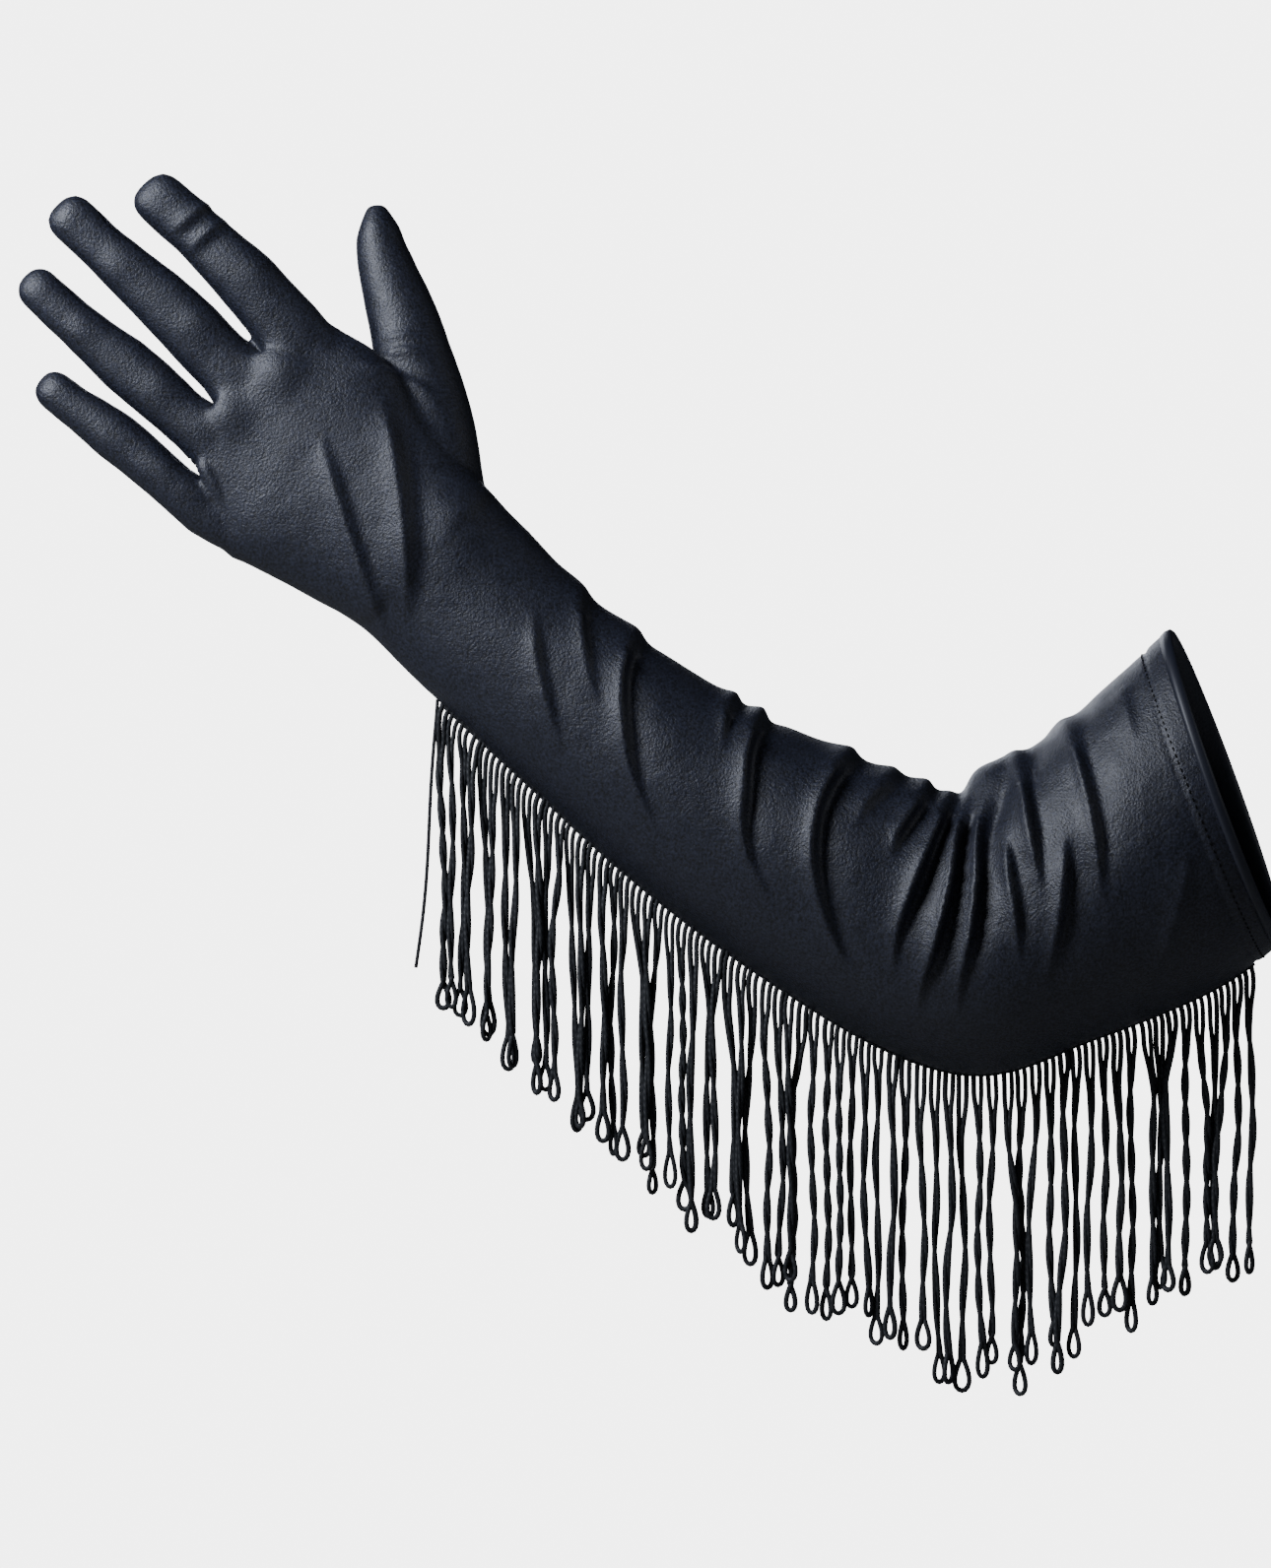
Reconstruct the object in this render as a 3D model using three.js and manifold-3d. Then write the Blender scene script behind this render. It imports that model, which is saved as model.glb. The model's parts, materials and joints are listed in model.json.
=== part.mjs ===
// A left-hand opera glove of black stretch satin, over the elbow, with a looped fringe sewn
// along the little-finger seam. It is modelled filled, as a bent arm and an open hand fill it.
// Frame: millimetres, +Z up, origin at the centre of the cuff's opening. The fingers point to
// -X and up, the back of the hand faces -Y and the palm faces +Y.

import * as THREE from "three";
import { mergeVertices } from "three/addons/utils/BufferGeometryUtils.js";
import Module from "manifold-3d";

const wasm = await Module();
wasm.setup();

// ---- Driving dimensions (mm, degrees) ----

const WALL = 1; // satin with its seam allowances, as one solid wall
const GAP = 0.3; // clearance between neighbouring pieces

// Rings of the sleeve and palm, from the cuff to the webs of the fingers. lean turns a ring's
// wide axis from the vertical, toe turns its deep axis towards the cuff, half and depth are its
// half width and half depth.
const ARM = [
  { x: 0, z: 0, lean: 20, toe: 11.5, half: 55.5, depth: 46 }, // cuff
  { x: -29, z: -22.5, lean: 27, toe: 4, half: 51.5, depth: 45 },
  { x: -60.5, z: -39, lean: 20, toe: 0, half: 48, depth: 43 },
  { x: -89.5, z: -49.5, lean: 0, toe: 0, half: 46, depth: 40.5 }, // elbow
  { x: -131.5, z: -29.5, lean: -28, toe: 0, half: 41, depth: 37 },
  { x: -175, z: -4, lean: -34, toe: 0, half: 35.5, depth: 33 },
  { x: -216.5, z: 28, lean: -40, toe: 0, half: 31, depth: 27 },
  { x: -250, z: 58.5, lean: -45, toe: 0, half: 30.5, depth: 21 }, // wrist
  { x: -267.5, z: 76, lean: -45, toe: 0, half: 31, depth: 19 },
  { x: -291, z: 96, lean: -41, toe: 0, half: 36.5, depth: 16.5 },
  { x: -309, z: 112, lean: -35, toe: 0, half: 42, depth: 14.5 }, // knuckles
  { x: -333.5, z: 128, lean: -27, toe: 0, half: 43, depth: 10.5 }, // webs
];
const WRIST = 7; // number of the wrist's ring
const WEBS = 11;
const WRIST_FROM = 6.73; // the wrist's bend, in ring numbers
const WRIST_TO = 7.48;
const ELBOW_NEAR_X = -70; // the elbow's bend lies between two upright planes
const ELBOW_FAR_X = -128;

// Each finger runs straight from root to end, [x, z]. half and tipHalf are its half width at
// each, free is where it comes free of the webs, and forks are its sides with a fourchette:
// +1 the side towards the little finger, -1 the side towards the thumb.
const FINGERS = {
  index: { root: [-319.5, 159.5], end: [-361.5, 202], half: 10, tipHalf: 9.2, free: 1, forks: [1] },
  middle: { root: [-332, 138.5], end: [-390.5, 194.5], half: 9.5, tipHalf: 8.8, free: 3, forks: [-1, 1] },
  ring: { root: [-343.5, 119.5], end: [-401, 170.5], half: 9.8, tipHalf: 8.8, free: 6, forks: [-1, 1] },
  little: { root: [-348, 98], end: [-395.5, 136.5], half: 8.7, tipHalf: 7.4, free: 3, forks: [-1] },
};
const FINGER_DEPTH = 8.5;
const FINGER_TIP_DEPTH = 6.6;
const FINGER_BURIED = 16; // how far a finger's tube runs back into the palm
const BEND_LENGTH = 13; // soft stretch at the root of each finger
const TIP_ROUND = 9; // length over which a tip closes
const TIP_END = 0.93; // how much of the rounding is reached at the flat end of a tip

// The thumb's rings, from its mound in the palm to its tip, and where its bend begins and ends.
const THUMB = [
  { x: -257, y: 3, z: 86, half: 14, depth: 14 },
  { x: -263, y: 7, z: 112, half: 15.5, depth: 14 },
  { x: -269.5, y: 12, z: 140, half: 12, depth: 12 },
  { x: -276.5, y: 17, z: 165, half: 10.2, depth: 10.5 },
  { x: -283, y: 20.5, z: 184, half: 7.4, depth: 8.5 },
  { x: -285, y: 22, z: 194.5, half: 3.6, depth: 4.2 },
];
const THUMB_BEND_FROM = 2.4;
const THUMB_BEND_TO = 2.95;

const FORK_HALF = 3.8; // half width of a fourchette at the finger's root
const FORK_SHORT = 9; // how far a fourchette stops short of the fingertip

const HEM_WIDTH = 9; // turned hem at the cuff
const HEM_CLOTH = 0.8;
const ELASTIC_WIDTH = 6;
const ELASTIC_THICK = 0.8;
const THREAD = 0.5;

const STRANDS = 3; // twisted yarn strands in one section of the fringe
const SECTIONS = 22;
const FRINGE_FROM = 0.4; // the fringe runs from here at the cuff to the wrist, in ring numbers
const FRINGE_TO = 6.7;
const STRAND_RADIUS = 1;
const STRAND_LENGTH = 98;
const TAPE_FROM = THREAD + 2 * GAP + 0.1; // the tape lies outside the seam and the stitches
const TAPE_TO = 3.6;
const TAPE_THICK = 1.2;
const HEADER_FROM = TAPE_TO + GAP;
const HEADER_TO = HEADER_FROM + 1;
const HEADER_THICK = 1.8;

const SLEEVE_SIDES = 24;
const FINGER_SIDES = 12;
const SLEEVE_RINGS = 14;
const TIP_RINGS = 7;
const STRAND_SIDES = 4;
const SEAM_STEPS = 2; // straight steps along the seam in one section of the fringe

const SATIN = new THREE.MeshStandardMaterial({ color: 0x17181c, roughness: 0.42, metalness: 0 });
const ELASTIC = new THREE.MeshStandardMaterial({ color: 0x101012, roughness: 0.8, metalness: 0 });
const YARN = new THREE.MeshStandardMaterial({ color: 0x121215, roughness: 0.7, metalness: 0 });

// ---- Rings ----

const Y = new THREE.Vector3(0, 1, 0);
const radians = THREE.MathUtils.degToRad;

// One value of a list of rings at ring number u, on a smooth curve through the rings.
function valueAt(rings, key, u) {
  const i = THREE.MathUtils.clamp(Math.floor(u), 0, rings.length - 2);
  const t = u - i;
  const b = rings[i][key];
  const c = rings[i + 1][key];
  const a = i > 0 ? rings[i - 1][key] : 2 * b - c;
  const d = i + 2 < rings.length ? rings[i + 2][key] : 2 * c - b;
  const bend = (3 * (b - c) + d - a) * t + 2 * a - 5 * b + 4 * c - d;
  return b + 0.5 * t * (c - a + t * bend);
}

// A ring of the sleeve or palm: its centre, its wide and deep axes and its half sizes.
function armRing(u) {
  const lean = radians(valueAt(ARM, "lean", u));
  const toe = radians(valueAt(ARM, "toe", u));
  const outward = new THREE.Vector3(Math.cos(lean), 0, Math.sin(lean));
  return {
    at: new THREE.Vector3(valueAt(ARM, "x", u), 0, valueAt(ARM, "z", u)),
    across: new THREE.Vector3(Math.sin(lean), 0, -Math.cos(lean)),
    deep: Y.clone().multiplyScalar(Math.cos(toe)).addScaledVector(outward, Math.sin(toe)),
    half: valueAt(ARM, "half", u),
    depth: valueAt(ARM, "depth", u),
  };
}

// A ring of a finger, s mm from its root.
function fingerRing(finger, s) {
  const root = new THREE.Vector3(finger.root[0], 0, finger.root[1]);
  const end = new THREE.Vector3(finger.end[0], 0, finger.end[1]);
  const length = root.distanceTo(end);
  const along = end.clone().sub(root).normalize();
  const t = THREE.MathUtils.clamp(s / length, 0, 1);
  const past = Math.max(0, s - (length - TIP_ROUND)) / TIP_ROUND;
  const round = Math.sqrt(1 - (TIP_END * Math.min(past, 1)) ** 2);
  return {
    at: root.addScaledVector(along, s),
    across: along.clone().cross(Y),
    deep: Y,
    half: THREE.MathUtils.lerp(finger.half, finger.tipHalf, t) * round,
    depth: THREE.MathUtils.lerp(FINGER_DEPTH, FINGER_TIP_DEPTH, t) * round,
  };
}

function fingerLength(finger) {
  return Math.hypot(finger.end[0] - finger.root[0], finger.end[1] - finger.root[1]);
}

// A ring of the thumb, at ring number u.
function thumbRing(u) {
  const place = (v) => new THREE.Vector3(...["x", "y", "z"].map((key) => valueAt(THUMB, key, v)));
  const along = place(u + 0.05).sub(place(u - 0.05)).normalize();
  const across = along.clone().cross(Y).normalize();
  return {
    at: place(u),
    across,
    deep: across.clone().cross(along),
    half: valueAt(THUMB, "half", u),
    depth: valueAt(THUMB, "depth", u),
  };
}

// ---- Solids ----

function solid(geometry) {
  geometry.deleteAttribute("normal");
  geometry.deleteAttribute("uv");
  const merged = mergeVertices(geometry, 1e-4);
  const vertProperties = merged.attributes.position.array;
  const triVerts = new Uint32Array(merged.index.array);
  return new wasm.Manifold(new wasm.Mesh({ numProp: 3, vertProperties, triVerts }));
}

function union(solids) {
  return solids.reduce((whole, next) => whole.add(next));
}

// Bends a unit shape: its y runs from ring "from" to ring "to", its x lies across the ring and
// its z through the ring's depth. place turns a ring and the shape's x and z into a point.
function bend(geometry, ringAt, from, to, place) {
  const p = geometry.attributes.position;
  const v = new THREE.Vector3();
  for (let i = 0; i < p.count; i += 1) {
    v.fromBufferAttribute(p, i);
    const ring = ringAt(THREE.MathUtils.lerp(from, to, v.y + 0.5));
    const point = place(ring, v.x, v.z);
    p.setXYZ(i, point.x, point.y, point.z);
  }
  return solid(geometry);
}

// A closed tube of oval rings, inset into its own surface by "inset".
function tube(ringAt, from, to, count, sides, inset) {
  const unit = new THREE.CylinderGeometry(1, 1, 1, sides, count);
  return bend(unit, ringAt, from, to, (ring, x, z) =>
    ring.at
      .clone()
      .addScaledVector(ring.across, x * (ring.half - inset))
      .addScaledVector(ring.deep, z * (ring.depth - inset)),
  );
}

// A band around the sleeve between two depths under its surface; a negative depth is outside.
function band(from, to, count, outside, inside) {
  const past = 0.02;
  const outer = tube(armRing, from, to, count, SLEEVE_SIDES, outside);
  return outer.subtract(tube(armRing, from - past, to + past, count, SLEEVE_SIDES, inside));
}

// A strip along the little-finger seam, between two distances outside the sleeve.
function seamStrip(from, to, count, near, far, thick) {
  const unit = new THREE.BoxGeometry(1, 1, 1, 1, count, 1);
  return bend(unit, armRing, from, to, (ring, x, z) =>
    ring.at
      .clone()
      .addScaledVector(ring.across, ring.half + (near + far) / 2 + x * (far - near))
      .addScaledVector(Y, z * thick),
  );
}

// A block that holds everything between two values of x.
function slab(fromX, toX) {
  const size = 1000;
  const block = new THREE.BoxGeometry(toX - fromX, size, size);
  return solid(block.translate((fromX + toX) / 2, 0, 0));
}

const glove = new THREE.Group();

function addPiece(name, piece, material) {
  const mesh = piece.getMesh();
  const geometry = new THREE.BufferGeometry();
  geometry.setAttribute("position", new THREE.BufferAttribute(mesh.vertProperties, 3));
  geometry.setIndex(new THREE.BufferAttribute(mesh.triVerts, 1));
  geometry.computeVertexNormals();
  const part = new THREE.Mesh(geometry, material);
  part.name = name;
  glove.add(part);
}

// ---- Sleeve: upper part, elbow bend, forearm and wrist bend ----

const RING_LENGTH = 35; // about the distance between two rings of the sleeve
const ringGap = GAP / RING_LENGTH;

function addSleeve() {
  const reach = 500;
  const sleeve = band(0, WRIST_FROM - ringGap, SLEEVE_RINGS, 0, WALL);
  const upper = slab(ELBOW_NEAR_X + GAP / 2, reach);
  const elbow = slab(ELBOW_FAR_X + GAP / 2, ELBOW_NEAR_X - GAP / 2);
  const forearm = slab(-reach, ELBOW_FAR_X - GAP / 2);
  addPiece("upper_sleeve", sleeve.intersect(upper), SATIN);
  addPiece("elbow_sleeve", sleeve.intersect(elbow), SATIN);
  addPiece("forearm_sleeve", sleeve.intersect(forearm), SATIN);
  addPiece("wrist_sleeve", band(WRIST_FROM + ringGap, WRIST_TO - 2 * ringGap, 3, 0, WALL), SATIN);
}

// The cuff's turned hem, the elastic inside the turning and the row of stitches around it.
function addHem() {
  const elasticInset = WALL + GAP;
  const clothInset = elasticInset + ELASTIC_THICK + GAP;
  const hemEnd = HEM_WIDTH / RING_LENGTH;
  const elasticEnd = (HEM_WIDTH - ELASTIC_WIDTH) / 2 / RING_LENGTH;
  const threadHalf = THREAD / RING_LENGTH;
  addPiece("hem_turning", band(0.02, hemEnd, 1, clothInset, clothInset + HEM_CLOTH), SATIN);
  addPiece(
    "cuff_elastic",
    band(elasticEnd, hemEnd - elasticEnd, 1, elasticInset, elasticInset + ELASTIC_THICK),
    ELASTIC,
  );
  addPiece("hem_stitching", band(hemEnd - threadHalf, hemEnd + threadHalf, 1, -GAP - THREAD, -GAP), YARN);
}

// ---- Hand: palm, webs and the stubs that the fingers and thumb are sewn to ----

function handSolid(inset) {
  const open = inset > 0 ? 0.2 : 0; // the inside runs out through every opening
  const openFinger = inset > 0 ? 3 : 0;
  const palm = tube(armRing, WRIST_TO - open, WEBS - inset * 0.05, 6, SLEEVE_SIDES, inset);
  const thumb = tube(thumbRing, inset * 0.04, THUMB_BEND_FROM + open, 5, FINGER_SIDES, inset);
  const stubs = Object.values(FINGERS).map((finger) => {
    const ringAt = (s) => fingerRing(finger, s);
    return tube(ringAt, inset - FINGER_BURIED, finger.free + openFinger, 2, FINGER_SIDES, inset);
  });
  return union([palm, thumb, ...stubs]);
}

function addHand() {
  addPiece("hand_sleeve", handSolid(0).subtract(handSolid(WALL)), SATIN);
}

// ---- Fingers ----

// The outline of a fourchette on the side of a finger, cut out right through one side wall.
function forkBlock(finger, side, start, shrink) {
  const length = fingerLength(finger);
  const wide = FORK_HALF - shrink;
  const point = length - FORK_SHORT - 2 * shrink;
  const shoulder = length - 2 * FORK_SHORT;
  const shape = new THREE.Shape();
  shape.moveTo(start, -wide);
  shape.lineTo(shoulder, -wide);
  shape.lineTo(point, 0);
  shape.lineTo(shoulder, wide);
  shape.lineTo(start, wide);
  shape.closePath();
  const block = new THREE.ExtrudeGeometry(shape, { depth: 2 * finger.half, bevelEnabled: false });
  const root = fingerRing(finger, 0);
  const along = root.across.clone().cross(Y).negate();
  const out = along.clone().cross(Y).multiplyScalar(side);
  const up = out.clone().cross(along);
  const frame = new THREE.Matrix4().makeBasis(along, up, out);
  block.applyMatrix4(frame.setPosition(root.at.addScaledVector(out, finger.half / 2)));
  return solid(block);
}

function addFinger(name, finger) {
  const length = fingerLength(finger);
  const ringAt = (s) => fingerRing(finger, s);
  const bendFrom = finger.free + GAP;
  const bendTo = finger.free + BEND_LENGTH;
  const start = bendTo + GAP;
  const root = tube(ringAt, bendFrom, bendTo, 1, FINGER_SIDES, 0);
  addPiece(`${name}_root`, root.subtract(tube(ringAt, bendFrom - 1, bendTo + 1, 1, FINGER_SIDES, WALL)), SATIN);
  const outer = tube(ringAt, start, length, TIP_RINGS, FINGER_SIDES, 0);
  const shell = outer.subtract(tube(ringAt, start - 1, length - WALL, TIP_RINGS, FINGER_SIDES, WALL));
  const blocks = finger.forks.map((side) => forkBlock(finger, side, start - 2, 0));
  addPiece(`${name}_finger`, blocks.reduce((rest, block) => rest.subtract(block), shell), SATIN);
  finger.forks.forEach((side) => {
    const strip = shell.intersect(forkBlock(finger, side, start - 2, GAP));
    const facing = side > 0 ? "little_side" : "thumb_side";
    addPiece(`${name}_fourchette_${facing}`, strip, SATIN);
  });
}

function addThumb() {
  const gap = GAP / 24;
  const top = THUMB.length - 1;
  const root = tube(thumbRing, THUMB_BEND_FROM + gap, THUMB_BEND_TO - gap, 1, FINGER_SIDES, 0);
  const rootInside = tube(thumbRing, THUMB_BEND_FROM - 0.1, THUMB_BEND_TO + 0.1, 1, FINGER_SIDES, WALL);
  addPiece("thumb_root", root.subtract(rootInside), SATIN);
  const outer = tube(thumbRing, THUMB_BEND_TO, top, 6, FINGER_SIDES, 0);
  const inner = tube(thumbRing, THUMB_BEND_TO - 0.1, top - 0.1, 6, FINGER_SIDES, WALL);
  addPiece("thumb", outer.subtract(inner), SATIN);
}

// ---- Fringe: the tape in the seam and the sections of strands that hang from it ----

// Ring numbers that cut the seam between FRINGE_FROM and FRINGE_TO into equal lengths.
function seamCuts(count) {
  const fine = 400;
  const point = (u) => {
    const ring = armRing(u);
    return ring.at.clone().addScaledVector(ring.across, ring.half);
  };
  const us = Array.from({ length: fine + 1 }, (_, i) => THREE.MathUtils.lerp(FRINGE_FROM, FRINGE_TO, i / fine));
  const run = [0];
  for (let i = 1; i <= fine; i += 1) {
    run.push(run[i - 1] + point(us[i]).distanceTo(point(us[i - 1])));
  }
  return Array.from({ length: count + 1 }, (_, k) => {
    const wanted = (run[fine] * k) / count;
    return us[run.findIndex((length) => length >= wanted - 1e-9)];
  });
}

function strand(u) {
  const ring = armRing(u);
  const top = ring.at.clone().addScaledVector(ring.across, ring.half + (HEADER_FROM + HEADER_TO) / 2);
  const yarn = new THREE.CylinderGeometry(STRAND_RADIUS, STRAND_RADIUS, STRAND_LENGTH, STRAND_SIDES);
  yarn.rotateX(Math.PI / 2);
  return solid(yarn.translate(top.x, top.y, top.z - STRAND_LENGTH / 2));
}

function addFringe() {
  const cuts = seamCuts(SECTIONS * STRANDS * 2);
  const across = (u) => {
    const ring = armRing(u);
    return ring.at.x + ring.across.x * ring.half;
  };
  const halfGap = ringGap / 2;
  const tape = (name, from, to) => {
    const count = Math.max(SEAM_STEPS, Math.ceil((to - from) * 6));
    const strip = seamStrip(from + halfGap, to - halfGap, count, TAPE_FROM, TAPE_TO, TAPE_THICK);
    addPiece(name, strip, YARN);
  };
  const sections = [];
  for (let k = 0; k < SECTIONS; k += 1) {
    const own = cuts.slice(k * STRANDS * 2, (k + 1) * STRANDS * 2 + 1);
    const [from, to] = [own[0], own[own.length - 1]];
    const header = seamStrip(from + halfGap, to - halfGap, SEAM_STEPS, HEADER_FROM, HEADER_TO, HEADER_THICK);
    const strands = own.filter((_, i) => i % 2 === 1).map(strand);
    const number = String(k + 1).padStart(2, "0");
    addPiece(`fringe_${number}`, union([header, ...strands]), YARN);
    sections.push({ number, from, to, middle: across((from + to) / 2) });
  }
  const bending = sections.filter(({ middle }) => middle < ELBOW_NEAR_X && middle > ELBOW_FAR_X);
  bending.forEach(({ number, from, to }) => tape(`fringe_tape_${number}`, from, to));
  tape("fringe_tape_upper", FRINGE_FROM, bending[0].from);
  tape("fringe_tape_forearm", bending[bending.length - 1].to, FRINGE_TO);
}

addSleeve();
addHem();
addHand();
Object.entries(FINGERS).forEach(([name, finger]) => addFinger(name, finger));
addThumb();
addFringe();

export default glove;
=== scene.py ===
import json
import math
import random

import bmesh
import bpy
import numpy as np
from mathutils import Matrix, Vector, noise
from mathutils.bvhtree import BVHTree


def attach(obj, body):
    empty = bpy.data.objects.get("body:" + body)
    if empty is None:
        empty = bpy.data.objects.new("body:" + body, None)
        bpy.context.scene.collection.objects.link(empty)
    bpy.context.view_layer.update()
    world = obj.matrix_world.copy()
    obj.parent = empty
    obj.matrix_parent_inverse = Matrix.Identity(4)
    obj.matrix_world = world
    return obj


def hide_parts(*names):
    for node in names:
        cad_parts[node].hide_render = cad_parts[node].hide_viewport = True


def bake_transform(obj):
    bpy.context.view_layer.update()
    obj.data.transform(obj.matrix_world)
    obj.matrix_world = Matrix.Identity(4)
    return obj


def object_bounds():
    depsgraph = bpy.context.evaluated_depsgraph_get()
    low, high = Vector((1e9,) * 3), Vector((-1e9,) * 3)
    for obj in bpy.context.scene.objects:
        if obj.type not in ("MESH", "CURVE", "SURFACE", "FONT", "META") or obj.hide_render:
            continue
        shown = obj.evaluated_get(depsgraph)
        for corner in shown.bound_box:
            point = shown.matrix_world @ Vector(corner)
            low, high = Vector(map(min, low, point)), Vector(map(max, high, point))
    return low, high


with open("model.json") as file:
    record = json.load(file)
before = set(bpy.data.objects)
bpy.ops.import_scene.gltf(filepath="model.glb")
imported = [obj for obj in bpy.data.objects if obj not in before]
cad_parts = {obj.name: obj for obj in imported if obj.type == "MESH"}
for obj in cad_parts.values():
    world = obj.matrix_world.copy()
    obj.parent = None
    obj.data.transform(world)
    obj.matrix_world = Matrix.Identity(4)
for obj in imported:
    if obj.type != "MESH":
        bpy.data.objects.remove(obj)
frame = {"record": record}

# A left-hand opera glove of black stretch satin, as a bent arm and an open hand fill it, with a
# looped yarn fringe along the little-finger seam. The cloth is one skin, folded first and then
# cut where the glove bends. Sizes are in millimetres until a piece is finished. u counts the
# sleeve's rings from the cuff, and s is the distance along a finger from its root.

CAD_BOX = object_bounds()
MM = 0.001
DEEP = Vector((0, 1, 0))

# ---- Driving dimensions ----

# Rings from the cuff to the webs of the fingers: x, z, lean of the wide axis, toe of the deep
# axis (degrees), half width and half depth.
ARM = [
    (0, 0, 20, 11.5, 55.5, 46),
    (-29, -22.5, 27, 4, 51.5, 45),
    (-60.5, -39, 20, 0, 48, 43),
    (-89.5, -49.5, 0, 0, 46, 40.5),
    (-131.5, -29.5, -28, 0, 41, 37),
    (-175, -4, -34, 0, 35.5, 33),
    (-216.5, 28, -40, 0, 31, 27),
    (-250, 58.5, -45, 0, 30.5, 21),
    (-267.5, 76, -45, 0, 31, 19),
    (-291, 96, -41, 0, 36.5, 16.5),
    (-309, 112, -35, 0, 42, 14),
    (-332, 125.4, -27, 0, 42, 8),
]
WEBS = len(ARM) - 1
WEB_BOW = 7  # the webs' line runs forward between the middle and ring fingers
WEB_FALL = 24

# Fingers: root and end (x, z), where each comes free of the webs, its sides with a fourchette
# (-1 towards the thumb, +1 towards the little finger), and its edges as (s, thumb side, little
# side) distances from the axis.
FINGERS = {
    "index": {
        "root": (-319.5, 159.5), "end": (-361.5, 202), "free": 1, "forks": (1,), "length": 60.5,
        "edges": [(-20, 11, 11), (-9, 12, 11), (7, 12, 9.5), (15, 12, 8.8), (22, 11.5, 8.5),
                  (36, 10.5, 7.8), (51, 9.3, 8.8), (61, 8, 8.8)],
    },
    "middle": {
        "root": (-332, 138.5), "end": (-390.5, 194.5), "free": 3, "forks": (-1, 1), "length": 82,
        "edges": [(-20, 11, 10), (-2, 11, 10.4), (14, 11.4, 10), (28, 11.8, 9.1), (37, 11.3, 8.5),
                  (48, 9.8, 7.9), (60, 8.8, 7.7), (75, 8.6, 7.9), (83, 7.6, 7.4)],
    },
    "ring": {
        "root": (-343.5, 119.5), "end": (-401, 170.5), "free": 6, "forks": (-1, 1), "length": 78.2,
        "edges": [(-20, 9, 8.8), (-9, 9, 8.8), (5, 9.1, 8.5), (15, 9.6, 8.6), (25, 10.1, 9.1),
                  (34, 9.7, 9.4), (44, 8.2, 8.8), (54, 7.3, 8), (63, 7, 7.7), (73, 7, 7), (79, 6.4, 6)],
    },
    "little": {
        "root": (-348, 98), "end": (-395.5, 136.5), "free": 3, "forks": (-1,), "length": 62.4,
        "edges": [(-28, 6, 5), (-18, 7, 7.2), (-9, 7, 8.6), (5, 7.2, 7.9), (14, 8, 7.4), (23, 8.7, 7.5),
                  (31, 8.8, 7.6), (41, 7.9, 7.3), (48, 6.7, 7), (56, 6.5, 7), (63, 6, 6.4)],
    },
}
FINGER_DEPTHS = [(-20, 8), (0, 9.4), (20, 9), (40, 8.2), (60, 7.2), (83, 6.4)]
FINGER_SQUARE = 2.5  # fourchettes make a finger's section squarer than an ellipse
TIP_ROUND = 8
TIP_END = 0.97  # how much of the rounding a fingertip's last ring reaches

# The thumb: x, y, z, half width, half depth, from its mound to its tip.
THUMB = [
    (-259, 3, 84, 12.5, 13), (-264.4, 7, 112.5, 15, 14), (-269.2, 11, 133, 14.3, 13),
    (-272.6, 13.3, 146.3, 13.3, 12.2), (-276.3, 16, 159.5, 12, 11.2), (-280.4, 18.5, 172, 10.4, 10.2),
    (-283.6, 20.5, 182.5, 8.9, 9), (-284.7, 21.2, 190, 7.2, 7.8), (-285.6, 22, 198, 3, 4),
]
THUMB_HINGE = Vector((-273.8, 14.4, 155))
THUMB_ALONG = Vector((-0.26, 0.18, 0.95)).normalized()
THUMB_CUT = -4.5  # where its cloth is cut, along it from its hinge
THUMB_REACH = 17  # how far from its axis the thumb's cloth is looked for

ELBOW_NEAR_CUT = -67  # the cloth is cut just clear of the bend
ELBOW_FAR_CUT = -131
WRIST_U = 7  # the wrist's ring
MID_FOREARM_U = 5.6  # where the forearm's and the hand's cloth meet

CLOTH = 0.7  # thickness
VOXEL = 1.04  # grid of the skin's remesh
FORK_HALF = 4.2  # half width of a fourchette
FORK_SHORT = 7  # how far it stops short of the fingertip
FORK_POINT = 10  # length of its point
SEAM_SINK = 0.45  # how deep the fourchettes' seams lie
SKIN_PASSES = 8
CUT_NEAR = 3  # how far from a cut its faces are looked for

HEM_WIDTH = 9
CUFF_RUN = 36  # along the sleeve from the cuff's ring to the next
HEM_THICK = 0.35  # how far the hem stands out over its turning
STITCH_STEP = 2.4
STITCH_HALF = 0.36
FRINGE_FROM_U = 0.4
FRINGE_TO_U = 6.7
SECTIONS = 22
STRANDS = 3
YARN = 1.9
LEG_APART = 1.25  # from the middle of a strand to each leg at the seam
TWINE = 0.55  # the same where the legs are twisted together
STRAND_DROP = 97  # a strand's mean length


# ---- Rings ----

def value_at(rows, column, u):
    """One column of a list of rings at ring number u, on a smooth curve through the rings."""
    i = min(max(math.floor(u), 0), len(rows) - 2)
    t = u - i
    b, c = rows[i][column], rows[i + 1][column]
    a = rows[i - 1][column] if i > 0 else 2 * b - c
    d = rows[i + 2][column] if i + 2 < len(rows) else 2 * c - b
    bend = (3 * (b - c) + d - a) * t + 2 * a - 5 * b + 4 * c - d
    return b + 0.5 * t * (c - a + t * bend)


def arm_ring(u):
    """Centre, wide axis, deep axis, half width and half depth of the sleeve at ring u."""
    x, z, lean, toe, half, depth = (value_at(ARM, k, u) for k in range(6))
    lean, toe = math.radians(lean), math.radians(toe)
    outward = Vector((math.cos(lean), 0, math.sin(lean)))
    across = Vector((math.sin(lean), 0, -math.cos(lean)))
    deep = DEEP * math.cos(toe) + outward * math.sin(toe)
    return Vector((x, 0, z)), across, deep, half, depth


def seam_point(u, out=0.0):
    """A point on the little-finger seam, or outside it."""
    at, across, _, half, _ = arm_ring(u)
    return at + across * (half + out)


def finger_axes(finger):
    root = Vector((finger["root"][0], 0, finger["root"][1]))
    end = Vector((finger["end"][0], 0, finger["end"][1]))
    along = (end - root).normalized()
    return root, along, along.cross(DEEP)


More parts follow.
